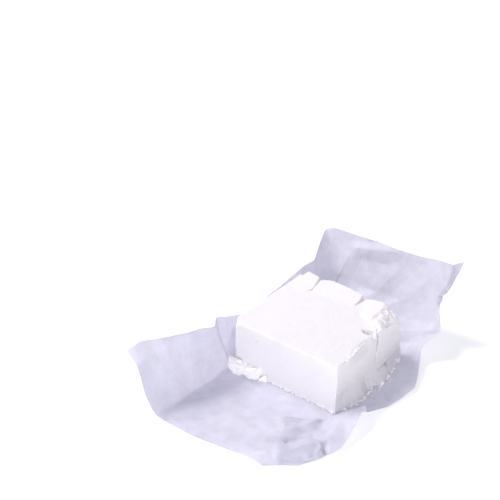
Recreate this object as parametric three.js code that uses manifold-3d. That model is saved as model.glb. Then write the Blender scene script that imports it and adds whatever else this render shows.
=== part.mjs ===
// A block of pressed gymnastics chalk (magnesium carbonate) lying in its opened paper wrapper.
// Millimetres, +Z up. The origin is on the table, under the middle of the block.
// The block's front face looks along -Y and its right face along +X.

import * as THREE from "three";
import * as BufferGeometryUtils from "three/addons/utils/BufferGeometryUtils.js";
import Module from "manifold-3d";

const wasm = await Module();
wasm.setup();

// Driving dimensions ---------------------------------------------------------------------------
const SHEET = 0.6; // thickness of the wrapper's panels, stiffer than the real tissue
const CLEAR = 0.3; // gap between pieces that touch
const PANEL_GAP = 0.7; // what each wrapper panel stays back from its creases

const BLOCK_SIDE = 60; // the block is a squat square prism
const BLOCK_HEIGHT = 26;
const BLOCK_BEVEL = 0.8; // worn edges
const BLOCK_FOOT = SHEET + CLEAR; // height of the block's underside
const BLOCK_TOP = BLOCK_FOOT + BLOCK_HEIGHT;
const HALF = BLOCK_SIDE / 2;

const CHUNK_FOOT = 6; // the broken corner stops this far above the table
const CHUNK_RISE = 2.2; // and stands this much proud of the block's top
const FLAKE_THICKNESS = 1.8; // the loose plates along the back of the top

const FRONT_CREASE_Y = -38; // where the front flap turns up
const BACK_CREASE_Y = 34; // where the back flap turns up
const LEFT_CREASE_X = -32.5; // where the left edge stands up
const RIGHT_CREASE_X = 33;
const FRONT_EDGE_Y = -84;
const BACK_EDGE_Y = 70;
const TOP_FOLD_Y = -57; // old fold that went over the block's front top edge
const FLAT_Z = SHEET / 2; // middle of a panel that lies on the table

// Materials ------------------------------------------------------------------------------------
const paper = () => new THREE.MeshStandardMaterial({ color: 0xd4d0ec, roughness: 0.75, metalness: 0 });
const chalk = () => new THREE.MeshStandardMaterial({ color: 0xf7f1f4, roughness: 0.95, metalness: 0 });
const brokenChalk = () => new THREE.MeshStandardMaterial({ color: 0xe9e2e6, roughness: 1, metalness: 0 });

const object = new THREE.Group();

function add(name, geometry, material) {
  const mesh = new THREE.Mesh(geometry, material);
  mesh.name = name;
  object.add(mesh);
  return mesh;
}

// Solids ---------------------------------------------------------------------------------------
function toSolid(geometry) {
  const bare = geometry.clone();
  for (const attribute of ["normal", "uv"]) bare.deleteAttribute(attribute);
  const merged = BufferGeometryUtils.mergeVertices(bare, 1e-4);
  const vertProperties = new Float32Array(merged.attributes.position.array);
  const triVerts = new Uint32Array(merged.index.array);
  return new wasm.Manifold(new wasm.Mesh({ numProp: 3, vertProperties, triVerts }));
}

function toGeometry(solid) {
  const mesh = solid.getMesh();
  const geometry = new THREE.BufferGeometry();
  geometry.setAttribute("position", new THREE.BufferAttribute(mesh.vertProperties, 3));
  geometry.setIndex(new THREE.BufferAttribute(mesh.triVerts, 1));
  return geometry;
}

// A prism on a flat outline of [x, y] points, from z = low to z = high.
function prism(outline, low, high) {
  const shape = new THREE.Shape(outline.map(([x, y]) => new THREE.Vector2(x, y)));
  const geometry = new THREE.ExtrudeGeometry(shape, { depth: high - low, bevelEnabled: false });
  return geometry.translate(0, 0, low);
}

// The outline grown outwards by a distance, for a convex outline that runs anticlockwise.
function grow(outline, distance) {
  const count = outline.length;
  const points = outline.map(([x, y]) => new THREE.Vector2(x, y));
  const outward = (from, to) => {
    const along = to.clone().sub(from).normalize();
    return new THREE.Vector2(along.y, -along.x);
  };
  return points.map((point, i) => {
    const before = outward(points[(i + count - 1) % count], point);
    const after = outward(point, points[(i + 1) % count]);
    const middle = before.clone().add(after);
    return point.clone().add(middle.multiplyScalar(distance / (1 + before.dot(after)))).toArray();
  });
}

// The wrapper ----------------------------------------------------------------------------------
// A panel is a thin plate around a grid of points on the paper: rows of equal length.
function panel(name, rows) {
  const grid = rows.map((row) => row.map((point) => new THREE.Vector3(...point)));
  const last = grid.length - 1;
  const end = grid[0].length - 1;
  const at = (i, j) => grid[Math.min(Math.max(i, 0), last)][Math.min(Math.max(j, 0), end)];
  const step = (from, to, distance) => to.clone().sub(from).setLength(distance);
  const inset = grid.map((row, i) => row.map((point, j) => {
    const moved = point.clone();
    if (i === 0) moved.add(step(point, at(1, j), PANEL_GAP));
    if (i === last) moved.add(step(point, at(last - 1, j), PANEL_GAP));
    if (j === 0) moved.add(step(point, at(i, 1), PANEL_GAP));
    if (j === end) moved.add(step(point, at(i, end - 1), PANEL_GAP));
    return moved;
  }));
  const normal = (i, j) => {
    const down = at(i + 1, j).clone().sub(at(i - 1, j));
    const across = at(i, j + 1).clone().sub(at(i, j - 1));
    return across.cross(down).setLength(SHEET / 2);
  };
  const positions = [];
  for (const side of [1, -1]) {
    inset.forEach((row, i) => row.forEach((point, j) => {
      positions.push(...point.clone().addScaledVector(normal(i, j), side).toArray());
    }));
  }
  const wide = end + 1;
  const far = wide * grid.length; // the first corner of the other side
  const corner = (i, j) => i * wide + j;
  const faces = [];
  const quad = (a, b, c, d) => faces.push(a, b, c, a, c, d);
  for (let i = 0; i < last; i++) {
    for (let j = 0; j < end; j++) {
      const [a, b, c, d] = [corner(i, j), corner(i + 1, j), corner(i + 1, j + 1), corner(i, j + 1)];
      quad(d, c, b, a);
      quad(far + b, far + c, far + d, far + a);
    }
  }
  for (let j = 0; j < end; j++) {
    quad(corner(0, j), far + corner(0, j), far + corner(0, j + 1), corner(0, j + 1));
    quad(corner(last, j + 1), far + corner(last, j + 1), far + corner(last, j), corner(last, j));
  }
  for (let i = 0; i < last; i++) {
    quad(corner(i + 1, 0), far + corner(i + 1, 0), far + corner(i, 0), corner(i, 0));
    quad(corner(i, end), far + corner(i, end), far + corner(i + 1, end), corner(i + 1, end));
  }
  const geometry = new THREE.BufferGeometry();
  geometry.setAttribute("position", new THREE.Float32BufferAttribute(positions, 3));
  geometry.setIndex(faces);
  return add(name, geometry, paper());
}

// Rows run away from the viewer (increasing y) and points run from left to right.
panel("wrapper_base", [
  [[LEFT_CREASE_X, FRONT_CREASE_Y, FLAT_Z], [RIGHT_CREASE_X, FRONT_CREASE_Y, FLAT_Z]],
  [[LEFT_CREASE_X, BACK_CREASE_Y, FLAT_Z], [RIGHT_CREASE_X, BACK_CREASE_Y, FLAT_Z]],
]);
panel("wrapper_left_edge", [
  [[-34.6, FRONT_CREASE_Y, 31], [LEFT_CREASE_X - 0.4, FRONT_CREASE_Y, 0.2]],
  [[-33.4, -24, 28.5], [LEFT_CREASE_X - 0.4, -24, 0.2]],
  [[-33.4, BACK_CREASE_Y, 28], [LEFT_CREASE_X - 0.4, BACK_CREASE_Y, 0.2]],
]);
panel("wrapper_right_edge", [
  [[RIGHT_CREASE_X, -26, FLAT_Z], [50.5, -17, 3.6]],
  [[RIGHT_CREASE_X, 4, FLAT_Z], [54.5, 5, 4.6]],
  [[RIGHT_CREASE_X, BACK_CREASE_Y, FLAT_Z], [45, BACK_CREASE_Y, 3.2]],
]);
panel("wrapper_right_tip", [
  [[RIGHT_CREASE_X, FRONT_CREASE_Y, FLAT_Z], [46, FRONT_CREASE_Y, 3.4]],
  [[RIGHT_CREASE_X, -27, FLAT_Z], [44, -25, 9]],
]);

panel("front_flap_inner", [
  [[LEFT_CREASE_X - 1, TOP_FOLD_Y, FLAT_Z], [42, TOP_FOLD_Y, FLAT_Z]],
  [[LEFT_CREASE_X - 1, FRONT_CREASE_Y, FLAT_Z], [45, FRONT_CREASE_Y, FLAT_Z]],
]);
panel("front_flap_outer", [
  [
    [LEFT_CREASE_X - 1, FRONT_EDGE_Y, FLAT_Z],
    [-4, FRONT_EDGE_Y + 1.5, FLAT_Z],
    [24, FRONT_EDGE_Y + 5, FLAT_Z],
  ],
  [[LEFT_CREASE_X - 1, -72, FLAT_Z], [-2, -72, FLAT_Z], [36, -69, FLAT_Z]],
  [[LEFT_CREASE_X - 1, TOP_FOLD_Y, FLAT_Z], [0, TOP_FOLD_Y, FLAT_Z], [42, TOP_FOLD_Y, FLAT_Z]],
]);
panel("front_flap_left_edge", [
  [[-51, FRONT_EDGE_Y, 29], [LEFT_CREASE_X - 1.6, FRONT_EDGE_Y, 0.9]],
  [[-47, -76, 31.5], [LEFT_CREASE_X - 1.6, -72, 0.9]],
  [[-40, -57, 30], [LEFT_CREASE_X - 1.6, TOP_FOLD_Y, 0.9]],
  [[-36, FRONT_CREASE_Y - 2, 29], [LEFT_CREASE_X - 1.6, FRONT_CREASE_Y, 0.9]],
]);

panel("back_flap_middle", [
  [
    [LEFT_CREASE_X, BACK_CREASE_Y, FLAT_Z],
    [0, BACK_CREASE_Y, FLAT_Z],
    [RIGHT_CREASE_X, BACK_CREASE_Y, FLAT_Z],
  ],
  [[-22, 50, 12], [5, 50, 11], [35, 50, 13]],
  [[-20, 64, 29], [8, 64, 29.5], [36, 64, 34]],
  [[-22, BACK_EDGE_Y, 35], [10, BACK_EDGE_Y, 36.5], [37, BACK_EDGE_Y, 42]],
]);
panel("back_flap_left_edge", [
  [[-35.4, BACK_CREASE_Y + 1, 27.5], [-34.9, BACK_CREASE_Y + 1, 3.5]],
  [[-35.8, 50, 29], [-22.6, 50, 12.6]],
  [[-39.5, 64, 31], [-20.6, 64, 29.6]],
  [[-42, BACK_EDGE_Y, 34], [-22.6, BACK_EDGE_Y, 35.2]],
]);
panel("back_flap_right_edge", [
  [[RIGHT_CREASE_X + 0.6, BACK_CREASE_Y + 0.6, 1], [43, 35.5, 8.5]],
  [[35.6, 50, 13], [48, 46, 14]],
  [[36.6, 64, 34], [42, 58, 27]],
  [[37.6, BACK_EDGE_Y, 42], [43, BACK_EDGE_Y, 41]],
]);

// The block and what has broken off it ---------------------------------------------------------
// The crack runs in from the right face and out through the back face; both its ends lie outside.
const CORNER_REGION = [[40, 2], [40, 40], [6, 40], [10, 20], [15, 13.5]];

// The pressed prism, with worn edges.
function blockSolid(height) {
  const inner = HALF - BLOCK_BEVEL;
  const outline = [[-inner, -inner], [inner, -inner], [inner, inner], [-inner, inner]];
  const shape = new THREE.Shape(outline.map(([x, y]) => new THREE.Vector2(x, y)));
  const body = new THREE.ExtrudeGeometry(shape, {
    depth: height - 2 * BLOCK_BEVEL,
    bevelThickness: BLOCK_BEVEL,
    bevelSize: BLOCK_BEVEL,
    bevelSegments: 2,
  });
  body.translate(0, 0, BLOCK_FOOT + BLOCK_BEVEL);
  return toSolid(body);
}

// The space beyond the crack, above a height.
const beyondCrack = (gap, low) => toSolid(prism(grow(CORNER_REGION, gap), low, BLOCK_TOP + 10));

// The broken face leans from the corner's raised top down to the block's right face.
function cornerSolid() {
  const whole = blockSolid(BLOCK_HEIGHT + CHUNK_RISE).intersect(beyondCrack(0, CHUNK_FOOT + CLEAR));
  const lean = new THREE.BoxGeometry(40, 80, 20);
  lean.translate(20, 0, 10);
  lean.rotateY(THREE.MathUtils.degToRad(33));
  lean.rotateZ(THREE.MathUtils.degToRad(6));
  lean.translate(22, 20, BLOCK_TOP + CHUNK_RISE);
  return whole.subtract(toSolid(lean));
}

const withPocket = blockSolid(BLOCK_HEIGHT).subtract(beyondCrack(CLEAR, CHUNK_FOOT));
add("chalk_block", toGeometry(withPocket), chalk());
add("broken_corner", toGeometry(cornerSolid()), brokenChalk());

const FLAKES = {
  rear_flake_left: [[-31, 20], [-24, 15], [-20, 22], [-21.5, 29], [-29, 31.5]],
  rear_flake_middle: [[-17, 20], [-2, 17], [5, 21], [5.5, 29.5], [-13, 31.5], [-18, 29]],
};
for (const [name, outline] of Object.entries(FLAKES)) {
  const low = BLOCK_TOP + CLEAR;
  add(name, prism(outline, low, low + FLAKE_THICKNESS), chalk());
}

// Thin skins of chalk that curl off the foot of the right face: [y, reach, width, height].
const FOOT_FLAKES = [[-11, 5.5, 11, 4], [-1.5, 4, 6, 3], [6.5, 7, 8, 4], [18, 5, 11, 5]];
FOOT_FLAKES.forEach(([y, reach, width, height], i) => {
  const inner = HALF + CLEAR;
  const section = new THREE.Shape([
    new THREE.Vector2(inner, BLOCK_FOOT + 0.4),
    new THREE.Vector2(inner + reach, BLOCK_FOOT + 1.6),
    new THREE.Vector2(inner + 0.5, BLOCK_FOOT + height),
    new THREE.Vector2(inner, BLOCK_FOOT + height),
  ]);
  const flake = new THREE.ExtrudeGeometry(section, { depth: width, bevelEnabled: false });
  flake.rotateX(Math.PI / 2);
  flake.translate(0, y + width / 2, 0);
  add(`foot_flake_${i + 1}`, flake, brokenChalk());
});

// Crumbs on the paper along the foot of the front face: [x, y, size].
const CRUMBS = [
  [-26.9, -34.6, 6.4],
  [-30.8, -32, 2.8],
  [-21.8, -32.4, 3.6],
  [-17.4, -33.4, 5.2],
  [-12, -32.2, 2.4],
];
CRUMBS.forEach(([x, y, size], i) => {
  const lump = new THREE.IcosahedronGeometry(size / 2, 0);
  lump.rotateX(i * 1.3);
  lump.rotateZ(i * 2.1);
  lump.scale(1, 0.85, 0.8);
  lump.computeBoundingBox();
  lump.translate(x, y, SHEET + CLEAR - lump.boundingBox.min.z);
  add(`crumb_${i + 1}`, lump, chalk());
});

export default object;
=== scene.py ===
"""A block of gymnastics chalk in its opened paper wrapper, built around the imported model."""

import bmesh
import bpy
import numpy as np
from mathutils import Euler, Matrix, Vector


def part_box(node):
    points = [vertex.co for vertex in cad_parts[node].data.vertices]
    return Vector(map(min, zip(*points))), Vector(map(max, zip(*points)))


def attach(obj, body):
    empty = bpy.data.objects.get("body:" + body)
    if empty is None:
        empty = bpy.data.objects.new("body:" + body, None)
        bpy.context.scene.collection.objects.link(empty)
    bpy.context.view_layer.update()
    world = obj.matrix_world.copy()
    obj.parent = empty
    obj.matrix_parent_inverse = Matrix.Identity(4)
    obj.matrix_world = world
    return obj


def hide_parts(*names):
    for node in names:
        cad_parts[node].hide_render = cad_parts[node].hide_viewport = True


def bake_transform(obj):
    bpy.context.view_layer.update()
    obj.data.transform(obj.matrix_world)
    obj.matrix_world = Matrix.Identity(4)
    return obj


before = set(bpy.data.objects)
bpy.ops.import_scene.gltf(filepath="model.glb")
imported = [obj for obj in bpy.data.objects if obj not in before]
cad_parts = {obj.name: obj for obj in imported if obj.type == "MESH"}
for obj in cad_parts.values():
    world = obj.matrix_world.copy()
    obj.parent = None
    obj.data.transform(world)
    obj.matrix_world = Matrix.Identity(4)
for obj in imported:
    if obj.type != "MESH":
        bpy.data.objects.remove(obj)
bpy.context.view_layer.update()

MM = 0.001

# Camera ---------------------------------------------------------------------------------------
CAMERA_PLACE = (0.20781, -0.32972, 0.27840)
CAMERA_AZIMUTH = np.radians(37.487)
CAMERA_PITCH = np.radians(28.855)
CAMERA_ROLL = np.radians(1.104)
CAMERA_LENS = 66.76  # for a 36 mm sensor


def make_camera():
    camera = bpy.data.objects.new("camera", bpy.data.cameras.new("camera"))
    camera.data.lens = CAMERA_LENS
    camera.data.sensor_width = 36
    camera.data.clip_start, camera.data.clip_end = 0.01, 20
    turn = Matrix.Rotation(CAMERA_AZIMUTH, 4, "Z")
    tilt = Matrix.Rotation(np.pi / 2 - CAMERA_PITCH, 4, "X")
    roll = Matrix.Rotation(CAMERA_ROLL, 4, "Z")
    camera.matrix_world = Matrix.Translation(CAMERA_PLACE) @ turn @ tilt @ roll
    bpy.context.collection.objects.link(camera)
    bpy.context.scene.camera = camera


# Noise and small helpers ----------------------------------------------------------------------
def hashed(cells, seed):
    """One pseudo-random number in 0..1 for each row of whole numbers."""
    mix = np.full(cells.shape[:-1], (seed * 2654435761 + 97) & 0xFFFFFFFF, dtype=np.uint32)
    for axis, prime in enumerate((73856093, 19349663, 83492791)[: cells.shape[-1]]):
        mix ^= (cells[..., axis].astype(np.int64) * prime & 0xFFFFFFFF).astype(np.uint32)
        mix ^= mix >> np.uint32(15)
        mix *= np.uint32(2246822519)
        mix ^= mix >> np.uint32(13)
    mix *= np.uint32(3266489917)
    mix ^= mix >> np.uint32(16)
    return mix.astype(np.float64) / 4294967295.0


def noise(points, cell, seed):
    """Smooth noise in -1..1, in as many dimensions as the points have."""
    scaled = np.asarray(points, float) / cell
    low = np.floor(scaled).astype(np.int64)
    part = scaled - low
    part = part * part * (3 - 2 * part)
    dims = scaled.shape[-1]
    total = np.zeros(scaled.shape[:-1])
    for corner in range(2**dims):
        offset = np.array([(corner >> axis) & 1 for axis in range(dims)])
        weight = np.prod(np.where(offset, part, 1 - part), axis=-1)
        total += weight * hashed(low + offset, seed)
    return total * 2 - 1


def rough(points, cell, seed, octaves=3):
    """Several layers of noise, each half as large and half as strong."""
    return sum(noise(points, cell / 2**k, seed + 31 * k) / 2**k for k in range(octaves))


def ramp(value, start, end):
    part = np.clip((value - start) / (end - start), 0, 1)
    return part * part * (3 - 2 * part)


def mesh_object(name, vertices, faces, material, smooth=True):
    mesh = bpy.data.meshes.new(name)
    mesh.from_pydata((np.asarray(vertices) * MM).tolist(), [], np.asarray(faces).tolist())
    mesh.materials.append(material)
    mesh.polygons.foreach_set("use_smooth", [smooth] * len(mesh.polygons))
    piece = bpy.data.objects.new(name, mesh)
    bpy.context.collection.objects.link(piece)
    return piece


# Materials ------------------------------------------------------------------------------------
class Nodes:
    """A short way to write a node tree."""

    def __init__(self, name):
        self.material = bpy.data.materials.new(name)
        self.material.use_nodes = True
        self.tree = self.material.node_tree
        self.tree.nodes.clear()
        self.place = self.add("ShaderNodeTexCoord").outputs["Object"]

    def add(self, kind, links=None, **settings):
        node = self.tree.nodes.new(kind)
        for key, value in settings.items():
            setattr(node, key, value)
        for socket, value in (links or {}).items():
            if isinstance(value, bpy.types.NodeSocket):
                self.tree.links.new(value, node.inputs[socket])
            else:
                node.inputs[socket].default_value = value
        return node

    def noise(self, scale, detail=4, roughness=0.55, place=None):
        links = {"Vector": place or self.place, "Scale": scale, "Detail": detail, "Roughness": roughness}
        return self.add("ShaderNodeTexNoise", links).outputs["Fac"]

    def stretched(self, scale, turn=(0, 0, 0)):
        links = {"Vector": self.place, "Scale": scale, "Rotation": turn}
        return self.add("ShaderNodeMapping", links).outputs["Vector"]

    def colours(self, factor, stops):
        ramp_node = self.add("ShaderNodeValToRGB", {"Fac": factor})
        elements = ramp_node.color_ramp.elements
        while len(elements) < len(stops):
            elements.new(0.5)
        for element, (position, colour) in zip(elements, stops):
            element.position = position
            element.color = (*colour, 1)
        return ramp_node.outputs["Color"]

    def bump(self, height, strength, distance, under=None):
        links = {"Height": height, "Strength": strength, "Distance": distance}
        if under is not None:
            links["Normal"] = under
        return self.add("ShaderNodeBump", links).outputs["Normal"]

    def finish(self, shader):
        self.add("ShaderNodeOutputMaterial", {"Surface": shader})
        return self.material


LOOSE_CHALK, LOOSE_DUST = (0.98, 0.965, 0.975), (0.96, 0.94, 0.955)  # crumbs and grains are paler
# painted glow: an emission that brightens the loose crumbs and dust grains, though they are no lamp
LOOSE_PAINTED_GLOW = 0.12


def chalk_material(name, colour, dust, grain, glow=0.0):
    """Pressed chalk: matt, with very fine press marks, pale blotches and a powdery grain.

    Small crumbs get a faint emission, a painted glow that stands in for the light that scatters through them.
    """
    nodes = Nodes(name)
    blotches = nodes.noise(90, detail=5)
    strokes = nodes.noise(1500, detail=3, place=nodes.stretched((1, 0.12, 0.5)))
    layers = nodes.noise(1300, detail=3, place=nodes.stretched((0.09, 0.09, 1), (0.06, 0.10, 0)))
    shade = nodes.add("ShaderNodeMath", {0: strokes, 1: blotches}, operation="ADD").outputs[0]
    tone = nodes.colours(shade, [(0.8, dust), (1.1, colour)])
    pits = nodes.noise(1500, detail=4, roughness=0.6)
    powder = nodes.noise(4200, detail=3, roughness=0.7)
    normal = nodes.bump(strokes, 0.7, 0.0004)
    normal = nodes.bump(layers, 0.3, 0.0003, normal)
    normal = nodes.bump(pits, grain * 0.5, 0.0002, normal)
    normal = nodes.bump(powder, grain, 0.0001, normal)
    # the emission is a painted glow; it is zero unless a glow is given
    shader = nodes.add(
        "ShaderNodeBsdfPrincipled",
        {"Base Color": tone, "Roughness": 0.95, "Specular IOR Level": 0.2, "Normal": normal,
         "Emission Color": (*colour, 1), "Emission Strength": glow},
    )
    return nodes.finish(shader.outputs["BSDF"])


def fracture_pit_shade_material():
    """Freshly broken chalk: coarse, its colour following the bump, with painted shade in the pits between
    bright grains.
    """
    nodes = Nodes("fractured_chalk")
    pits = nodes.noise(1500, detail=2, roughness=0.6)
    # painted shade: the tone darkens where the bump noise is low, in the pits
    stops = [(0.36, (0.74, 0.71, 0.73)), (0.46, (0.92, 0.89, 0.91)), (0.56, (0.98, 0.96, 0.975))]
    tone = nodes.colours(pits, stops)
    normal = nodes.bump(pits, 0.7, 0.0004)
    shader = nodes.add(
        "ShaderNodeBsdfPrincipled",
        {"Base Color": tone, "Roughness": 0.9, "Specular IOR Level": 0.25, "Normal": normal},
    )
    return nodes.finish(shader.outputs["BSDF"])


def paper_material():
    """Thin wrapping tissue: lets some light through, with a faint fibre and fine wrinkles."""
    nodes = Nodes("wrapper_tissue")
    clouds = nodes.noise(210, detail=8, roughness=0.75)
    stops = [(0.36, (0.81, 0.795, 0.855)), (0.5, (0.845, 0.84, 0.905)), (0.68, (0.875, 0.875, 0.94))]
    tone = nodes.colours(clouds, stops)
    fibres = nodes.noise(700, detail=5, roughness=0.7, place=nodes.stretched((1, 0.35, 0.6)))
    wrinkles = nodes.noise(160, detail=6, roughness=0.6)
    normal = nodes.bump(wrinkles, 0.3, 0.0006)
    normal = nodes.bump(fibres, 0.2, 0.0001, normal)
    sheet = nodes.add(
        "ShaderNodeBsdfPrincipled",
        {"Base Color": tone, "Roughness": 0.42, "Specular IOR Level": 0.4, "Normal": normal},
    )
    glow = nodes.add("ShaderNodeBsdfTranslucent", {"Color": tone, "Normal": normal})
    mixed = nodes.add("ShaderNodeMixShader", {0: 0.5, 1: sheet.outputs[0], 2: glow.outputs[0]})
    return nodes.finish(mixed.outputs[0])


# The wrapper ----------------------------------------------------------------------------------
# Rows run from the front edge to the back edge; points in a row run from the left edge to the
# right edge: top of the left edge, two points down it, the left crease, four on the base, and
# two on the right edge. Millimetres. Under the block the base is flat on the table.
WRAPPER_ROWS = {
    -84: ((-56.2, -79.2, 24.8), (-46.6, -82.4, 21.5), (-41, -83.8, 8.5), (-34.8, -84.3, 0.3),
          (-12.5, -84, 0.3), (4.5, -81.5, 0.3), (12.5, -80, 0.6), (18.5, -80, 1.2), (22, -79.9, 1.2),
          (25.4, -79.8, 0.5)),
    -77: ((-50.7, -75.8, 31), (-46, -76.6, 21.5), (-40.6, -77, 10), (-34.7, -77.4, 0.3),
          (-12.5, -77, 0.5), (6, -76, 0.7), (14, -75, 1.6), (20.5, -75, 3), (26, -74.6, 3),
          (30.5, -75.2, 0.4)),
    -70: ((-46.6, -70.2, 31), (-43.4, -70.2, 21.5), (-39, -70, 10.4), (-34.5, -69.6, 0.3),
          (-12.5, -69.5, 0.4), (7, -69.8, 0.5), (15.5, -69, 2.4), (23, -69, 4), (31, -69.2, 4),
          (37.4, -70, 0.4)),
    -64: ((-43.2, -64.2, 30.9), (-41, -64, 21.2), (-37.8, -63.6, 10.2), (-34.3, -63, 0.3),
          (-12.5, -63, 0.8), (7.8, -63.6, 1.6), (16.5, -63, 1.8), (25.5, -63.6, 2.4), (34.5, -62.8, 5.6),
          (40.5, -64, 0.6)),
    -59: ((-40.6, -59.2, 30.8), (-39.3, -59, 21), (-37, -58.6, 10.2), (-34.2, -58, 0.3),
          (-12.5, -57.4, 1.3), (8, -58.8, 1.0), (17.4, -58.6, 2.8), (27, -58.6, 1.0), (36.4, -57.8, 5.2),
          (42.6, -58.6, 0.6)),
    -54: ((-38.6, -54.4, 30.5), (-37.7, -54.2, 20.8), (-36, -53.8, 10.2), (-34, -53.4, 0.3),
          (-12.4, -53, 0.4), (8.5, -54, 0.5), (18, -54.6, 2.6), (29, -54.4, 1.4), (38.4, -53.6, 1.8),
          (44.6, -53.6, 0.5)),
    -49: ((-37.4, -49.5, 30), (-36.8, -49.2, 20.2), (-35.5, -48.8, 10), (-33.8, -48.3, 0.3),
          (-12.3, -48, 0.3), (9, -49, 0.5), (17, -49.4, 1.8), (29.5, -48.6, 0.9), (38.8, -49, 2.6),
          (46.5, -48.8, 1.5)),
    -43: ((-35.6, -43.8, 28.6), (-35.3, -43.4, 19.5), (-34.6, -43, 9.8), (-33.4, -42.6, 0.3),
          (-12, -43, 0.3), (9.5, -43.5, 0.4), (18.5, -43.5, 0.9), (29.2, -42.6, 0.6), (38, -42, 3.6),
          (45.8, -41, 4.8)),
    -40: ((-35, -40, 27.1), (-34.2, -36.4, 17.6), (-33.3, -33, 9), (-32.6, -33, 0.6),
          (-12, -39.4, 0.3), (10, -39.8, 0.3), (19.4, -39.6, 0.5), (29, -38.4, 0.5), (37.8, -38, 4.2),
          (45.2, -36.4, 6.4)),
    -36: ((-37.2, -36.8, 30.5), (-36.4, -35, 20), (-34.8, -32.8, 9.5), (-33, -31.8, 0.5),
          (-12, -35.4, 0.3), (10, -35.6, 0.3), (20, -35.4, 0.3), (29.6, -34, 0.4), (37.4, -31.6, 5),
          (44.2, -30.6, 8.2)),
    -31: ((-35.8, -31, 28.2), (-34.8, -31, 18.5), (-33.6, -31, 9), (-32.4, -30.8, 0.3),
          (-12, -31, 0.3), (10, -31, 0.3), (20, -31, 0.3), (31, -30.4, 0.4), (37.4, -27.6, 5.4),
          (43.2, -25.2, 9.8)),
    -26: ((-35.6, -25, 26), (-35, -25, 17.8), (-34.4, -25, 8.9), (-33.6, -25, 0.3),
          (-12, -25, 0.3), (10, -25, 0.3), (20, -25, 0.3), (31.5, -25, 0.3), (37, -22.4, 0.6),
          (41.9, -20.4, 1.2)),
    -15: ((-36.2, -14, 21.6), (-35.4, -14, 16), (-34.8, -14, 8.2), (-34.2, -14, 0.3),
          (-12, -14, 0.3), (10, -14, 0.3), (20, -14, 0.3), (31.6, -14, 0.3), (39.6, -12, 0.5),
          (47.2, -10.2, 1.0)),
    -5: ((-36, -4, 22.6), (-35.4, -4, 16.5), (-34.8, -4, 8.6), (-34.2, -4, 0.3),
         (-12, -4, 0.3), (10, -4, 0.3), (20, -4, 0.3), (31.6, -4, 0.3), (40.4, -3, 0.5), (49, -1.6, 1.4)),
    8: ((-35.8, 8, 24), (-35.2, 8, 17.8), (-34.7, 8, 9), (-34.2, 8, 0.3),
        (-12, 8, 0.3), (10, 8, 0.3), (20, 8, 0.3), (31.6, 8, 0.3), (41.2, 8.5, 0.7), (50.6, 9.9, 2.0)),
    18: ((-35.6, 18, 25.2), (-35.2, 18, 18.6), (-34.6, 18, 9.4), (-34.2, 18, 0.3),
         (-12, 18, 0.3), (10, 18, 0.3), (20, 18, 0.3), (31.6, 18, 0.3), (39.8, 18, 1.2), (47.5, 18.2, 3.0)),
    27: ((-35.4, 26.4, 26.6), (-34.8, 26.4, 19.2), (-34.4, 26.4, 9.6), (-33.8, 26.4, 0.3),
         (-12, 27, 0.3), (10, 27, 0.3), (20, 27, 0.3), (31.6, 27, 0.6), (37.8, 26.6, 2.2), (43.8, 26.4, 4.2)),
    34: ((-34.6, 33.4, 28.7), (-33.8, 33.4, 19.4), (-33.2, 33.4, 9.8), (-32.4, 33.4, 0.6),
         (-12, 34, 0.4), (10, 34, 0.4), (20, 34, 0.5), (31.4, 34, 1.4), (36.4, 34, 4.4), (40.2, 33.8, 7.4)),
    38: ((-34, 38, 29.1), (-33, 38, 20), (-32.2, 37.6, 10.6), (-30.8, 37.2, 1.8),
         (-12, 37.8, 2.4), (9, 37.8, 2.4), (19.6, 37.8, 2.4), (31.2, 38, 3.4), (36.8, 38, 6.2),
         (40.2, 37.4, 9.2)),
    44: ((-34.2, 44.2, 28.4), (-32.6, 43.6, 20.6), (-31, 43, 12), (-28.6, 42.6, 5.4),
         (-12, 43.2, 5.6), (8, 43.2, 5.6), (19, 43.2, 5.8), (30.4, 43.2, 6.8), (38.2, 43.4, 9.8),
         (44.6, 45.2, 13)),
    53: ((-36.8, 51.2, 32), (-32.8, 50.8, 24.4), (-29.2, 50.4, 16.4), (-25.4, 50, 9.6),
         (-12, 50.2, 9.6), (8, 50.2, 9.6), (19, 50, 9.8), (29.6, 49.6, 11.4), (36, 49, 13.8), (42, 49, 17)),
    62: ((-39, 57.4, 34.2), (-34, 57.2, 28), (-28.8, 57, 21.2), (-24.4, 57, 16),
         (-12, 57.2, 14.4), (8, 57.2, 14.4), (19, 56.8, 15.2), (28.6, 56, 17.6), (34.4, 54.6, 19.4),
         (39, 53, 20.2)),
    70: ((-40.4, 61.6, 35.6), (-35, 61.6, 30.6), (-29, 61.6, 25), (-23.8, 61.8, 22),
         (-12, 62.2, 21), (8, 62.2, 21.4), (19, 62, 22.4), (28.4, 61.2, 24.4), (34.2, 58.6, 25),
         (35, 60.3, 22.2)),
    78: ((-41.4, 64.6, 36.2), (-35.8, 65, 33), (-29.6, 65.4, 29.2), (-23.4, 65.6, 27.4),
         (-12, 65.8, 27), (8, 66, 28), (19, 66, 29.2), (28.6, 65.6, 31.2), (37.2, 61.2, 31),
         (36.8, 67, 28.4)),
    85: ((-41.6, 66.6, 36.4), (-36.6, 67.4, 35), (-30, 68, 33.4), (-23.2, 67.8, 32.6),
         (-11.6, 68.2, 33), (8, 68.4, 33.2), (18.2, 68.4, 34.4), (28.4, 68.2, 36.2), (36.6, 66.6, 35.4),
         (38, 73.8, 34.2)),
    90: ((-40.6, 68.2, 36.6), (-37, 69.2, 37.2), (-30.5, 69.6, 37), (-22.6, 69.8, 37),
         (-11, 69.8, 37.6), (8, 69.8, 37.2), (17, 69.8, 37.7), (27.6, 69.8, 39.4), (35.4, 69.8, 39.4),
         (39, 75, 40.2)),
}
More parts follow.
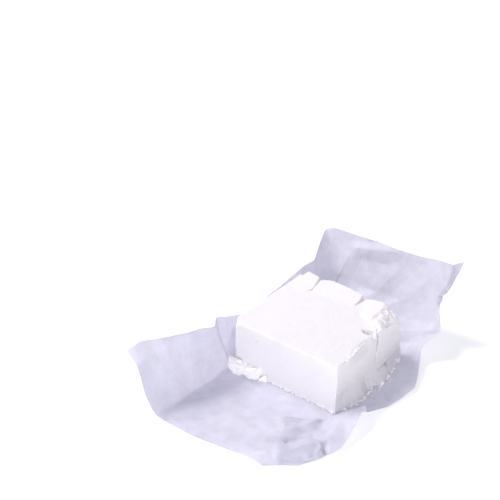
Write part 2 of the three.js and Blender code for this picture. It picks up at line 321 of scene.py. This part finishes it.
# Folds pressed into the paper: from, to, height, then how far it spreads to the left and right.
FOLDS = (
    ((13.2, -50.5, 1), (21, -58, 1.5), 1.7, 8, 2),
    ((12.5, -51, 1), (28.5, -37.5, 0.5), 1.1, 1.6, 1.3),
    ((21.4, -58.5, 1.5), (28.8, -37.5, 0.5), 1.4, 2.2, 4),
    ((16.5, -53, 1), (28.5, -38.5, 0.5), 0.9, 1.3, 1.3),
    ((19, -55.5, 1), (28.5, -39, 0.5), 0.9, 1.4, 1.2),
    ((12, -71.5, 0.5), (31.5, -56, 1.5), -1.5, 3, 9),
    ((28.8, -60.5, 2), (33, -54.6, 2), 1.5, 2, 2.4),
    ((32.6, -54.5, 2), (39.6, -56, 2), 1.5, 1.8, 2),
    ((39.2, -55.6, 2), (41.5, -60.9, 2), 1.5, 1.6, 2),
    ((41.4, -60.4, 2), (38, -65.8, 2), 1.3, 1.6, 2.4),
    ((24, -59.5, 2), (28.5, -62.5, 3), -1.4, 1.6, 2.2),
    ((39, -51, 1), (42.6, -56.4, 1), -1.9, 1.5, 1.7),
    ((24, -66, 3), (31, -76, 2), 1.3, 5, 2.5),
    ((29.5, -73.2, 1.5), (38.2, -68, 1.5), -1.2, 2.6, 2.2),
    ((38, -68, 1.5), (43, -57.5, 1.5), -1.2, 2.4, 2.2),
    ((33, -52.5, 1), (45, -46, 2), 0.9, 7, 3),
    ((30, -38, 0.5), (33.5, -54, 1), -0.6, 6, 3),
    ((-20, -31.3, 0.3), (29, -31.1, 0.3), 1.0, 1.0, 2.6),
    ((-24, -52.8, 0.5), (17.5, -56.2, 1), 1.2, 9, 4.5),
    ((-27, -75, 0.3), (-8, -50, 0.3), 1.0, 8, 6),
    ((-39.2, -55.6, 31), (-35, -57, 5), 1.3, 8, 4.5),
    ((-45, -67, 31), (-38, -66, 9), 0.9, 6, 7),
    ((-24, 66.5, 30.5), (4, 69, 36), 1.6, 4, 7),
    ((-23.5, 67, 31), (-25, 45, 6), 1.4, 7, 7),
    ((12, 55, 12), (33, 69, 37), 1.0, 9, 9),
    ((16, 43, 3), (44, 46, 13), 1.4, 6, 6),
    ((-8, 48, 6), (8, 66, 30), 0.9, 9, 7),
)
STEP = 0.6  # spacing of the wrapper's mesh
SHEET_THICKNESS = 0.12
LOWEST_MIDDLE = 0.12 + 0.05 * SHEET_THICKNESS  # keeps the sheet's underside off the table
COLUMN_WIDTHS = (11, 11, 11, 22, 20, 10, 10.5, 10, 10)  # millimetres


def spread(counts):
    """For each step: the column or row it starts from, and how far along it is."""
    places = [(i, k / n) for i, n in enumerate(counts) for k in range(n)]
    return places + [(len(counts) - 1, 1.0)]


def wrapper_grid():
    rows = np.array(list(WRAPPER_ROWS.values()), float)
    lengths = np.diff(list(WRAPPER_ROWS))
    across = spread([max(1, round(width / STEP)) for width in COLUMN_WIDTHS])
    along = spread([max(1, round(length / STEP)) for length in lengths])
    grid = np.empty((len(along), len(across), 3))
    for i, (row, down) in enumerate(along):
        line = rows[row] * (1 - down) + rows[row + 1] * down
        for j, (column, right) in enumerate(across):
            grid[i, j] = line[column] * (1 - right) + line[column + 1] * right
    return grid


def relax(grid, rounds, hold):
    """Rounds the facets into one another; hold is 1 where a crease stays sharp."""
    free = (1 - hold)[..., None]
    for _ in range(rounds):
        padded = np.pad(grid, ((1, 1), (1, 1), (0, 0)), mode="edge")
        edge = 2 * padded[1:-1, 1:-1] - grid  # the edges keep their place across themselves
        around = (padded[:-2, 1:-1] + padded[2:, 1:-1] + padded[1:-1, :-2] + padded[1:-1, 2:]) / 4
        around[0], around[-1] = grid[0], grid[-1]
        around[:, 0], around[:, -1] = grid[:, 0], grid[:, -1]
        around[0, 1:-1] = (grid[0, :-2] + grid[0, 2:]) / 2
        around[-1, 1:-1] = (grid[-1, :-2] + grid[-1, 2:]) / 2
        around[1:-1, 0] = (grid[:-2, 0] + grid[2:, 0]) / 2
        around[1:-1, -1] = (grid[:-2, -1] + grid[2:, -1]) / 2
        grid = grid + free * 0.5 * (around - grid)
    return grid


def normals(grid):
    down = np.gradient(grid, axis=0)
    across = np.gradient(grid, axis=1)
    cross = np.cross(across, down)
    return cross / np.linalg.norm(cross, axis=2, keepdims=True)


def facets(flat, size, seed):
    """Heights in -1..1 with flat facets and sharp creases between, as in paper that was crumpled."""
    turn = 0.7 * seed
    spin = np.array([[np.cos(turn), np.sin(turn)], [-np.sin(turn) * 0.8, np.cos(turn) * 1.15]])
    warp = np.stack([noise(flat, 2.2 * size, seed + 1), noise(flat, 2.2 * size, seed + 2)], -1)
    place = (flat @ spin.T) / size + 0.55 * warp
    low = np.floor(place).astype(np.int64)
    part = place - low
    first = part[..., 0] > part[..., 1]
    near = hashed(low, seed)
    far = hashed(low + 1, seed)
    side = np.where(first, hashed(low + (1, 0), seed), hashed(low + (0, 1), seed))
    long = np.where(first, part[..., 0], part[..., 1])
    short = np.where(first, part[..., 1], part[..., 0])
    return 2 * (near + (side - near) * long + (far - side) * short) - 1


def pressed_folds(grid, face):
    """How far each point of the sheet is raised by the folds."""
    height = np.zeros(grid.shape[:2])
    for start, end, rise, left, right in FOLDS:
        line = np.subtract(end, start)
        length = np.linalg.norm(line)
        line = line / length
        away = grid - np.array(start)
        along = away @ line
        away = away - along[..., None] * line
        side = np.sum(away * np.cross(face, line), axis=-1)
        off_sheet = np.abs(np.sum(away * face, axis=-1))
        tent = np.maximum(1 - np.where(side > 0, side / left, -side / right), 0)
        ends = ramp(along, -0.12 * length, 0.2 * length) * ramp(along, 1.12 * length, 0.8 * length)
        height += rise * tent * ends * (off_sheet < 9)
    return height


def wrapper():
    grid = wrapper_grid()
    rows, columns = grid.shape[:2]
    along = np.arange(rows)[:, None] * np.ones(columns)[None]
    across = np.ones(rows)[:, None] * np.arange(columns)[None]
    flat = np.stack([across, along], -1) * STEP
    left_crease = sum(COLUMN_WIDTHS[:3]) / STEP
    hold = np.clip(1 - np.abs(across - left_crease) / 1.5, 0, 1) * 0.75
    hold = hold * ramp(grid[..., 1], -44, -38)
    rounded = ramp(np.abs(across - left_crease) * STEP, 8, 3) * ramp(grid[..., 1], -38, -46)
    grid = relax(grid, 40, 1 - rounded)
    grid = relax(grid, 4, hold)
    face = normals(grid)
    grid = grid + face * pressed_folds(grid, face)[..., None]
    grid = relax(grid, 1, hold)
    face = normals(grid)
    x, y = grid[..., 0], grid[..., 1]
    under_block = ramp(34 - np.abs(x), 0, 3) * ramp(34 - np.abs(y), 0, 3)
    corner = ramp(np.hypot(x - 30, y + 58), 30, 12)
    amount = (0.75 + 0.25 * corner) * (1 - under_block)
    edge = np.minimum.reduce([across, columns - 1 - across, along, rows - 1 - along]) * STEP
    amount = amount * (0.3 + 0.7 * ramp(edge, 0, 9))
    height = facets(flat, 21, 4) + 0.4 * facets(flat, 9, 11) + 0.12 * facets(flat, 4, 19)
    grid = grid + face * (amount * height)[..., None]
    grid[..., 2] = np.maximum(grid[..., 2], LOWEST_MIDDLE)
    return grid


def sheet_piece(name, grid, face, rows, material):
    """A stretch of the wrapper as a thin solid."""
    part, out = grid[rows], face[rows]
    count, columns = part.shape[:2]
    top = part + out * SHEET_THICKNESS / 2
    bottom = part - out * SHEET_THICKNESS / 2
    vertices = np.concatenate([top.reshape(-1, 3), bottom.reshape(-1, 3)])
    index = np.arange(count * columns).reshape(count, columns)
    far = count * columns
    quads = np.stack([index[:-1, :-1], index[:-1, 1:], index[1:, 1:], index[1:, :-1]], -1).reshape(-1, 4)
    faces = [quads, quads[:, ::-1] + far]
    left, right = index[:, 0], index[:, -1]
    faces.append(np.stack([left[:-1], left[1:], left[1:] + far, left[:-1] + far], -1))
    faces.append(np.stack([right[1:], right[:-1], right[:-1] + far, right[1:] + far], -1))
    near, away = index[0], index[-1]
    faces.append(np.stack([near[1:], near[:-1], near[:-1] + far, near[1:] + far], -1))
    faces.append(np.stack([away[:-1], away[1:], away[1:] + far, away[:-1] + far], -1))
    piece = mesh_object(name, vertices, np.concatenate(faces), material)
    both = np.concatenate([out.reshape(-1, 3), -out.reshape(-1, 3)])
    piece.data.normals_split_custom_set_from_vertices(both.tolist())
    return piece


def make_wrapper(material):
    grid = wrapper()
    face = normals(grid)
    middle = int(np.argmin(np.abs(grid[:, grid.shape[1] // 2, 1])))
    front = sheet_piece("wrapper_front_sheet", grid, face, slice(0, middle + 1), material)
    back = sheet_piece("wrapper_back_sheet", grid, face, slice(middle, None), material)
    return front, back


# Solids from a distance field -----------------------------------------------------------------
CRISP = np.radians(28)  # edges sharper than this stay sharp in the shading


def surface(field, low, step):
    """The surface where a field on a grid changes sign, as quads: one vertex for each cell."""
    inside = field < 0
    crossing_sum = np.zeros(tuple(n - 1 for n in field.shape) + (3,))
    crossing_count = np.zeros(tuple(n - 1 for n in field.shape))
    quads = []
    cell_of = -np.ones(crossing_count.shape, np.int64)
    edges = []
    for axis in range(3):
        first = [slice(None)] * 3
        second = [slice(None)] * 3
        first[axis], second[axis] = slice(0, -1), slice(1, None)
        a, b = field[tuple(first)], field[tuple(second)]
        change = inside[tuple(first)] != inside[tuple(second)]
        i, j, k = np.nonzero(change)
        fa, fb = a[i, j, k], b[i, j, k]
        point = np.stack([i, j, k], -1).astype(float)
        point[:, axis] += fa / (fa - fb)
        others = [n for n in range(3) if n != axis]
        cells = []
        for shift_1, shift_2 in ((-1, -1), (0, -1), (0, 0), (-1, 0)):
            cell = np.stack([i, j, k], -1)
            cell[:, others[0]] += shift_1
            cell[:, others[1]] += shift_2
            cells.append(cell)
            np.add.at(crossing_sum, tuple(cell.T), point)
            np.add.at(crossing_count, tuple(cell.T), 1)
        edges.append((axis, fa < 0, cells))
    used = crossing_count > 0
    cell_of[used] = np.arange(used.sum())
    vertices = crossing_sum[used] / crossing_count[used][:, None] * step + low
    for axis, leaving, cells in edges:
        quad = np.stack([cell_of[tuple(cell.T)] for cell in cells], -1)
        turned = leaving if axis != 1 else ~leaving
        quad[~turned] = quad[~turned][:, ::-1]
        quads.append(quad)
    return vertices, np.concatenate(quads)


def solid(name, low, high, step, distance, material):
    """A piece from a distance function over a box; the function is negative inside."""
    low, high = np.array(low, float), np.array(high, float)
    counts = np.ceil((high - low) / step).astype(int) + 1
    axes = [low[n] + step * np.arange(counts[n]) for n in range(3)]
    points = np.stack(np.meshgrid(*axes, indexing="ij"), -1)
    field = distance(points)
    for side in (np.s_[0], np.s_[-1], np.s_[:, 0], np.s_[:, -1], np.s_[:, :, 0], np.s_[:, :, -1]):
        field[side] = np.maximum(field[side], 0.01)
    vertices, faces = surface(field, low, step)
    piece = mesh_object(name, vertices, faces, material)
    piece.data.set_sharp_from_angle(angle=CRISP)
    return piece


def rounded_box(points, low, high, radius):
    low, high = np.array(low, float), np.array(high, float)
    reach = np.abs(points - (low + high) / 2) - (high - low) / 2 + radius
    outside = np.linalg.norm(np.maximum(reach, 0), axis=-1)
    return outside + np.minimum(reach.max(axis=-1), 0) - radius


def prism_distance(points, outline):
    """How far points lie outside a convex anticlockwise outline in plan."""
    corners = np.array(outline, float)
    sides = np.roll(corners, -1, axis=0) - corners
    outward = np.stack([sides[:, 1], -sides[:, 0]], -1)
    outward /= np.linalg.norm(outward, axis=1)[:, None]
    return np.max([(points[..., :2] - c) @ n for c, n in zip(corners, outward)], axis=0)


# The block ------------------------------------------------------------------------------------
BLOCK_LOW, BLOCK_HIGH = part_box("chalk_block")
HALF = BLOCK_HIGH[0] / MM
FOOT, TOP = 0.42, BLOCK_HIGH[2] / MM  # it stands on the thin sheet
CORNER_REGION = ((40, 2), (40, 40), (6, 40), (10, 20), (15, 13.5))
CORNER_FOOT = 6
CORNER_RISE = 2.2
FRACTURE_PLACE = (20.5, 30, TOP + CORNER_RISE)  # a point on the fracture that slopes down to the right
FRACTURE_FACING = np.array((0.27, 0.055, 0.961))
GRAIN = 0.5  # step of the chalk's meshes
LEFT_SWELL = 2.6  # the left side bulges this far beyond the block's nominal width
BITE_DEPTH = 7.0  # how far down the right face the broken edge reaches


def skin(points, seed):
    """The small unevenness of a pressed chalk face."""
    waves = 0.22 * noise(points, 17, seed) + 0.06 * noise(points, 3.5, seed + 1)
    return waves + 0.05 * noise(points, 1.1, seed + 2)


def crack(points):
    """Distance beyond the crack that the corner broke along: negative on the corner's side."""
    return prism_distance(points, CORNER_REGION) + 0.5 * rough(points, 5, 71) + 0.25 * noise(points, 1.2, 77)


def edge_wear(points, along, across, edge, reach, cell, seed):
    """Chips out of an edge that runs along one axis: a groove whose size keeps changing."""
    distance = np.hypot(points[..., across[0]] - edge[0], points[..., across[1]] - edge[1])
    line = points[..., along][..., None]
    change = 0.55 + 0.45 * noise(line, cell, seed) + 0.35 * np.abs(noise(line, cell * 0.45, seed + 5))
    size = reach * change
    return size - distance


def crack_groove(points):
    """The shallow groove where the crack comes out on the right face: where it is (the same mask places
    painted shade), how deep.
    """
    x, y, z = points[..., 0], points[..., 1], points[..., 2]
    middle = np.interp(z, (2, 14, 18, 25), (4.8, 5.3, 6.2, 6.8)) + 0.3 * noise(points[..., 2:], 2.2, 91)
    width = np.interp(z, (1, 4, 12, 15, 19, 22, 25, 26), (0.3, 1.1, 0.9, 0.3, 1.3, 1.8, 1.2, 0.8))
    inside = np.maximum(1 - ((y - middle) / width) ** 2, 0) * ramp(x, HALF - 2.5, HALF - 1)
    return inside, 0.6 * inside


# The foot of the right face: y, and how far out it has spread there.
FOOT_OUTLINE = ((-29, 0.6), (-25, 1.8), (-20, 3.4), (-15.5, 5), (-10.4, 5.2), (-7.5, 3.8),
                (-5.3, 2.7), (-0.8, 4.5), (5.8, 6.2), (11.7, 5.6), (20.7, 3.3), (29.9, 0.8))
FOOT_HEIGHT = 12  # the spread foot blends into the face this far up


def foot_face(points):
    """The concave slope of the spread foot, which runs up into the right face."""
    out, y, z = points[..., 0] - HALF, points[..., 1], points[..., 2]
    climb = np.clip(1 - (z - FOOT) / FOOT_HEIGHT, 0, 1)
    spread_by = 1.2 * np.interp(y, *zip(*FOOT_OUTLINE)) * climb**2
    slope = out - spread_by + 0.3 - 0.15 * noise(points, 2.2, 131) * climb
    return np.maximum(np.maximum(slope, z - FOOT - FOOT_HEIGHT), -0.8 - out)


def corner_pocket(points, gap=0.0):
    """Negative inside the room that the broken corner takes up."""
    return np.maximum(crack(points) - gap, CORNER_FOOT - points[..., 2])


def block_body(points, top):
    """The pressed block before its chips: square, but with its left side worn back at the front corner."""
    field = rounded_box(points, (-HALF - LEFT_SWELL, -HALF, FOOT), (HALF, HALF, top), 0.2)
    worn_side = (-HALF - points[..., 0]) * 0.9 + (-HALF - points[..., 1]) * 0.43
    return np.maximum(field, worn_side) + skin(points, 3) + crack_groove(points)[1]


def right_edge_chips(points):
    """The top right edge has broken away in a shallow bite, with saw-tooth chips along its rim."""
    x, y, z = points[..., 0], points[..., 1], points[..., 2]
    line = points[..., 1:2]
    bite = 0.3 + 2.0 * ramp(y, -22, -9) - 1.0 * ramp(y, -3, 1.5)
    tooth = (y / 2.3 + 0.6 * noise(line, 3.1, 11)) % 1.0
    teeth = 1.5 * tooth * (0.6 + 0.4 * noise(line, 4.5, 12)) + 0.4 * noise(points, 0.9, 14)
    down = TOP - z
    size = np.maximum(bite * (1 - down / BITE_DEPTH), bite + teeth * ramp(y, -29, -21) - 1.5 * down)
    return x - HALF + size - 0.2


def block_distance(points):
    field = block_body(points, TOP)
    x, z = points[..., 0], points[..., 2]
    field = np.maximum(field, np.where(z > TOP - BITE_DEPTH, right_edge_chips(points), -9))
    field = np.maximum(field, edge_wear(points, 0, (1, 2), (-HALF, TOP), 0.55, 3.1, 13))
    field = np.maximum(field, edge_wear(points, 1, (0, 2), (HALF, FOOT), 1.4, 3.0, 17))
    field = np.maximum(field, edge_wear(points, 0, (1, 2), (HALF, TOP), 1.8, 3.0, 23))
    worn = 2.0 - np.linalg.norm((points - (-HALF - 1, -HALF, TOP)) * (1, 1, 0.8), axis=-1)
    field = np.maximum(field, worn + 0.4 * noise(points, 1.6, 29))
    gritty = ramp(np.linalg.norm(points - (HALF - 1, -HALF + 1, TOP), axis=-1), 7, 1)
    field = field + gritty * 0.45 * np.abs(noise(points, 1.0, 31))
    notch = np.linalg.norm((points - (26, 4.2, TOP)) / (3.9, 1.9, 3.2), axis=-1) - 1
    field = np.maximum(field, -notch * 2.5 + 0.6 * rough(points, 1.6, 37))
    open_crack = 0.08 * ramp(x, 26, 29.5)
    return np.maximum(field, -corner_pocket(points, open_crack))


def corner_distance(points):
    field = block_body(points, TOP + CORNER_RISE)
    x, y, z = points[..., 0], points[..., 1], points[..., 2]
    field = np.minimum(field, np.maximum(foot_face(points), y - 29.5))
    from_left = np.clip((x - 9 + 0.12 * (y - 20)) / 12.5, 0, 1)
    behind_crack = CORNER_REGION[-1:] + CORNER_REGION[:1] + ((40, 40), (6, 40))
    from_front = np.clip(-prism_distance(points, behind_crack) / 3.0, 0, 1)
    rise = CORNER_RISE * np.minimum(from_left, from_front)
    field = np.maximum(field, z - TOP - 0.08 - rise + skin(points, 3) - 0.1 * noise(points, 2, 45))
    lip = 0.8 * ramp(z, TOP - 2.5, TOP - 0.5) * ramp(x, 28, 24)  # it overlaps the block's top a little
    field = np.maximum(field, crack(points) - lip)
    field = np.maximum(field, CORNER_FOOT + 0.1 - z)
    # A shallow, rough fracture slopes to the right; the rear right corner has gone.
    fracture = (points - FRACTURE_PLACE) @ FRACTURE_FACING
    grit = 0.7 * rough(points, 3.2, 41, 4) + 0.4 * np.abs(noise(points, 0.9, 47))
    field = np.maximum(field, fracture + grit)
    gone = ((x - 30) * 0.55 + (y - 24.4) * 0.83 + (z - TOP) * 0.31) / 1.043
    return np.maximum(field, gone + 0.6 * grit)


def second_finish(piece, material, chosen):
    """Gives another finish to the faces picked by a test on their centres and directions."""
    mesh = piece.data
    mesh.materials.append(material)
    count = len(mesh.polygons)
    centres, facing, finish = np.empty(count * 3), np.empty(count * 3), np.empty(count, np.int32)
    mesh.polygons.foreach_get("center", centres)
    mesh.polygons.foreach_get("normal", facing)
    mesh.polygons.foreach_get("material_index", finish)
    finish[chosen(centres.reshape(-1, 3) / MM, facing.reshape(-1, 3))] = len(mesh.materials) - 1
    mesh.polygons.foreach_set("material_index", finish)


def freshly_broken(centres, facing):
    """The fracture that slopes down to the right from the corner's top."""
    height = (centres - FRACTURE_PLACE) @ FRACTURE_FACING
    edge = 26.3 - (centres[:, 1] - 9.5) * 0.3
    return (height > -1.6) & (facing[:, 2] > 0.1) & (centres[:, 0] > edge)


# painted shade: the faces inside the crack's groove on the right face get a darker, brownish finish
def in_crack_shade(centres, facing):
    return (crack_groove(centres)[0] > 0.5) & (facing[:, 0] > 0.3)


def plate_distance(outline, low, rise, seed):
    """A loose plate on the top of the block, thickest at the back edge."""
    back = max(y for _, y in outline)
    front = min(y for _, y in outline)

    def distance(points):
        y, z = points[..., 1], points[..., 2]
        side = prism_distance(points, outline) + 0.2 * noise(points, 3, seed)
        side = side + 0.15 * noise(points, 0.9, seed + 3)
        side = side * 0.9 + 0.3 * (z - low) - 0.4
        part = np.clip((y - front - 2) / (back - front - 3.5), 0, 1)
        upper = low - 0.3 + (rise + 0.3) * part + 0.08 * noise(points, 2.5, seed + 5)
        return np.maximum(np.maximum(side, z - upper), low - 0.5 - z)

    return distance


CRUMB_FRONT = -35.8  # crumbs stay behind the crease that the front flap folds up on


def lump_distance(centre, size, foot, seed):
    """A crumb: a few angular bits stuck together, standing on the paper."""
    rng = np.random.default_rng(seed)
    bits = []
    for _ in range(6):
        directions = rng.normal(size=(8, 3))
        directions /= np.linalg.norm(directions, axis=1)[:, None]
        middle = np.array(centre) + rng.uniform(-0.36, 0.36, 3) * size * (1.15, 0.5, 0.75)
        bits.append((middle, directions, rng.uniform(0.5, 1.0, 8) * size * 0.27))

    def distance(points):
        field = np.full(points.shape[:-1], 9.0)
        for middle, directions, reaches in bits:
            away = points - middle
            field = np.minimum(field, np.max([away @ n - r for n, r in zip(directions, reaches)], axis=0))
        field = np.maximum(field + 0.15 * noise(points, 0.9, seed + 1), foot - points[..., 2])
        return np.maximum(field, CRUMB_FRONT - points[..., 1] + 0.5 * noise(points, 1.5, seed + 2))

    return distance


def flake_distance(first_y, last_y, seed):
    """A piece of the foot of the right face that has spalled and spread, with a jagged rim."""

    def distance(points):
        out, y, z = points[..., 0] - HALF, points[..., 1], points[..., 2]
        reach = np.interp(y, *zip(*FOOT_OUTLINE))
        rim = out - 0.92 * reach + 0.7 * noise(points, 1.5, seed) + 0.5 * noise(points, 0.8, seed + 1)
        joined = 1.6 * ramp(out, 0.7 * reach, 0.4 * reach)  # gaps between the pieces open at the rim
        ends = np.maximum(first_y - y, y - last_y) - joined + 0.5 * noise(points, 1.3, seed + 4)
        field = np.maximum.reduce([foot_face(points) * 0.85, rim, ends, FOOT - z])
        return np.maximum(field, -corner_pocket(points))

    return distance


def make_chalk():
    smooth = chalk_material("pressed_chalk", (0.95, 0.925, 0.945), (0.925, 0.90, 0.925), 0.4)
    # the crumbs get the painted glow
    powdery = chalk_material("powdery_chalk", LOOSE_CHALK, LOOSE_DUST, 0.5, LOOSE_PAINTED_GLOW)
    made = {}
    pad = 1.5
    made["chalk_block"] = solid(
        "chalk_block_mesh", (-HALF - 2 * pad, -HALF - pad, FOOT - pad), (HALF + pad, HALF + pad, TOP + pad),
        GRAIN, block_distance, smooth)
    made["broken_corner"] = solid(
        "broken_corner_mesh", (4, 0, CORNER_FOOT - pad),
        (HALF + 2 * pad, HALF + pad, TOP + CORNER_RISE + pad), GRAIN, corner_distance, smooth)
    second_finish(made["broken_corner"], fracture_pit_shade_material(), freshly_broken)
    # painted shade in the crack's groove: a darker, brownish chalk for the faces there
    crack_shade = chalk_material("crack_shade_chalk", (0.87, 0.81, 0.82), (0.78, 0.71, 0.72), 0.9)
    for node in ("chalk_block", "broken_corner"):
        second_finish(made[node], crack_shade, in_crack_shade)
    plates = {
        "rear_flake_left": ((-31, 17), (-23, 12), (-18.6, 20), (-20.6, 29.5), (-29, 31.5)),
        "rear_flake_middle": ((-18.2, 20), (-2, 15), (8, 20), (6.6, 29.5), (-13, 31.5), (-19, 28.6)),
    }
    for seed, (node, outline) in enumerate(plates.items()):
        low, high = (np.array(corner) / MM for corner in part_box(node))
        distance = plate_distance(outline, TOP + 0.05, high[2] - TOP, 80 + 9 * seed)
        made[node] = solid(node + "_mesh", low - pad, high + pad, 0.4, distance, smooth)
    flakes = ((-28.5, -9.3), (-8.7, -2.8), (-2.2, 12.6), (13.4, 29.5))
    for number, (first_y, last_y) in enumerate(flakes, 1):
        distance = flake_distance(first_y, last_y, 120 + 7 * number)
        node = f"foot_flake_{number}"
        low, high = (np.array(corner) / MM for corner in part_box(node))
        low = np.minimum(low, (0, first_y, 0)) - (0, 2.5, 1)
        high = np.maximum(high, (0, last_y, FOOT_HEIGHT + 1)) + (1.5, 2.5, 0)
        low[0] = HALF - 1.5
        made[node] = solid(node + "_mesh", low, high, 0.35, distance, smooth)
    for number in range(1, 6):
        node = f"crumb_{number}"
        low, high = (np.array(corner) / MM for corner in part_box(node))
        centre = (low + high) / 2
        size = (high - low).max() * 1.1
        distance = lump_distance(centre, size, 0.35, 150 + number)
        made[node] = solid(node + "_mesh", low - 2, high + 2, 0.25, distance, powdery)
    return made


def shards(name, material, seed, lines):
    """Small angular chips along lines: (start, end, spread, smallest size, largest size, how many)."""
    rng = np.random.default_rng(seed)
    shape = bmesh.new()
    for start, end, spread_out, smallest, largest, count in lines:
        for _ in range(count):
            part, size = rng.random(), smallest + (largest - smallest) * rng.random() ** 2
            place = np.array(start) * (1 - part) + np.array(end) * part
            place = place + rng.normal(size=3) * np.array(spread_out)
            place[2] = max(place[2], 0.45 + 0.25 * size)
            corners = rng.normal(size=(9, 3))
            corners *= size * np.array((0.5, 0.5, 0.32)) / np.linalg.norm(corners, axis=1)[:, None]
            turn = np.array(Euler((*rng.normal(size=2) * 0.4, rng.uniform(0, 6.28))).to_matrix())
            made = [shape.verts.new(place + turn @ corner) for corner in corners]
            bmesh.ops.convex_hull(shape, input=made)
    loose = [vertex for vertex in shape.verts if not vertex.link_faces]
    bmesh.ops.delete(shape, geom=loose, context="VERTS")
    mesh = bpy.data.meshes.new(name)
    shape.to_mesh(mesh)
    shape.free()
    mesh.transform(Matrix.Scale(MM, 4))
    mesh.materials.append(material)
    piece = bpy.data.objects.new(name, mesh)
    bpy.context.collection.objects.link(piece)
    return piece


# Light and floor ------------------------------------------------------------------------------
SKY_DIM, SKY_BRIGHT = 0.26, 0.52


def area_light(name, place, target, size, watts, colour):
    light = bpy.data.lights.new(name, "AREA")
    light.shape = "DISK"
    light.size, light.energy, light.color = size, watts, colour
    lamp = bpy.data.objects.new(name, light)
    lamp.location = place
    lamp.rotation_euler = (Vector(target) - Vector(place)).to_track_quat("-Z", "Y").to_euler()
    bpy.context.collection.objects.link(lamp)


def make_sky():
    """An even studio sky, a little brighter above and in front than behind."""
    world = bpy.data.worlds.new("studio")
    world.use_nodes = True
    tree = world.node_tree
    background = tree.nodes["Background"]
    background.inputs["Color"].default_value = (0.90, 0.90, 1.0, 1)
    direction = tree.nodes.new("ShaderNodeTexCoord").outputs["Generated"]
    facing = tree.nodes.new("ShaderNodeVectorMath")
    facing.operation = "DOT_PRODUCT"
    facing.inputs[1].default_value = (0.2, -0.5, 0.8)
    tree.links.new(direction, facing.inputs[0])
    strength = tree.nodes.new("ShaderNodeMapRange")
    for socket, value in (("From Min", -1), ("From Max", 1), ("To Min", SKY_DIM), ("To Max", SKY_BRIGHT)):
        strength.inputs[socket].default_value = value
    tree.links.new(facing.outputs["Value"], strength.inputs["Value"])
    tree.links.new(strength.outputs["Result"], background.inputs["Strength"])
    bpy.context.scene.world = world


def make_studio():
    nodes = Nodes("studio_floor")
    tone = nodes.colours(nodes.noise(3), [(0.4, (0.93, 0.93, 0.93)), (0.6, (0.95, 0.95, 0.95))])
    shader = nodes.add(
        "ShaderNodeBsdfPrincipled",
        {"Base Color": tone, "Roughness": 0.9, "Emission Color": (1, 1, 1, 1), "Emission Strength": 0.38},
    )
    material = nodes.finish(shader.outputs["BSDF"])
    reach = 3000  # millimetres
    corners = [(-reach, -reach, 0), (reach, -reach, 0), (reach, reach, 0), (-reach, reach, 0)]
    floor = mesh_object("floor", corners, [(0, 1, 2, 3)], material, smooth=False)
    make_sky()
    area_light("key", (-0.71, -0.02, 0.88), (0, 0, 0), 0.4, 9.3, (1.0, 0.965, 0.975))
    area_light("front_card", (0.17, -0.40, 0.12), (0, -0.03, 0.012), 0.26, 0.62, (0.97, 0.96, 1.0))
    bpy.context.scene.view_settings.view_transform = "Standard"


# Assembly -------------------------------------------------------------------------------------
make_camera()
make_studio()

paper = paper_material()
front_sheet, back_sheet = make_wrapper(paper)
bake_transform(front_sheet)
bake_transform(back_sheet)
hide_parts("wrapper_base", "wrapper_left_edge", "wrapper_right_edge", "wrapper_right_tip",
            "front_flap_inner", "front_flap_outer", "front_flap_left_edge")
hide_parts("back_flap_middle", "back_flap_left_edge", "back_flap_right_edge")

chalk = make_chalk()
BODY_OF = {"chalk_block": "chalk_block", "broken_corner": "broken_corner",
           "rear_flake": "chalk_block", "foot_flake": "chalk_block", "crumb": "wrapper_base"}
for node, piece in chalk.items():
    body = next(BODY_OF[start] for start in BODY_OF if node.startswith(start))
    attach(piece, body)
    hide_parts(node)

# the dust grains get the painted glow too
grains = chalk_material("chalk_dust", LOOSE_CHALK, LOOSE_DUST, 0.4, LOOSE_PAINTED_GLOW)
DUST_ON_PAPER = (
    ((-30, -30.6, 1.3), (29.5, -30.5, 1.2), (0, 0.25, 0.2), 0.5, 1.3, 230),
    ((-31, -31.6, 1.8), (-22, -32.6, 1.4), (0.6, 0.9, 0.9), 0.8, 2.6, 110),
    ((-20, -32.2, 1.4), (-10, -31.6, 1.1), (0.8, 0.7, 0.6), 0.6, 2.0, 90),
    ((35, -18, 0.7), (37.2, 6, 0.7), (0.7, 0.3, 0.15), 0.2, 0.8, 70),
    ((37.2, 6, 0.7), (34.2, 24, 0.7), (0.7, 0.3, 0.15), 0.2, 0.8, 70),
    ((22, -32, 0.7), (30, -29, 0.7), (1.2, 1.0, 0.15), 0.2, 0.9, 60),
)
DUST_ON_BLOCK = (
    ((29.9, -23, 26.5), (28.2, -9, 26.5), (0.3, 0.2, 0.25), 0.5, 1.7, 50),
    ((28, -9, 26.5), (28.6, 0, 26.4), (0.25, 0.2, 0.25), 0.4, 1.2, 24),
    ((26.2, 8.2, 27.6), (27.6, 9.6, 27.8), (0.4, 0.4, 0.3), 0.6, 2.2, 12),
    ((31.5, -26, 0.9), (34.9, -13, 1.0), (0.4, 0.2, 0.35), 0.5, 1.7, 60),
    ((34.9, -13, 0.9), (34.0, -2, 1.0), (0.4, 0.2, 0.35), 0.4, 1.5, 40),
    ((35.9, 2, 1.0), (35.2, 12, 1.0), (0.4, 0.2, 0.4), 0.5, 1.7, 44),
    ((34.6, 14, 1.0), (31.4, 29, 1.0), (0.4, 0.2, 0.5), 0.5, 1.6, 50),
)
for name, lines, body in (("dust_on_paper", DUST_ON_PAPER, "wrapper_base"),
                          ("dust_on_block", DUST_ON_BLOCK, "chalk_block")):
    piece = shards(name, grains, len(lines), lines)
    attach(piece, body)
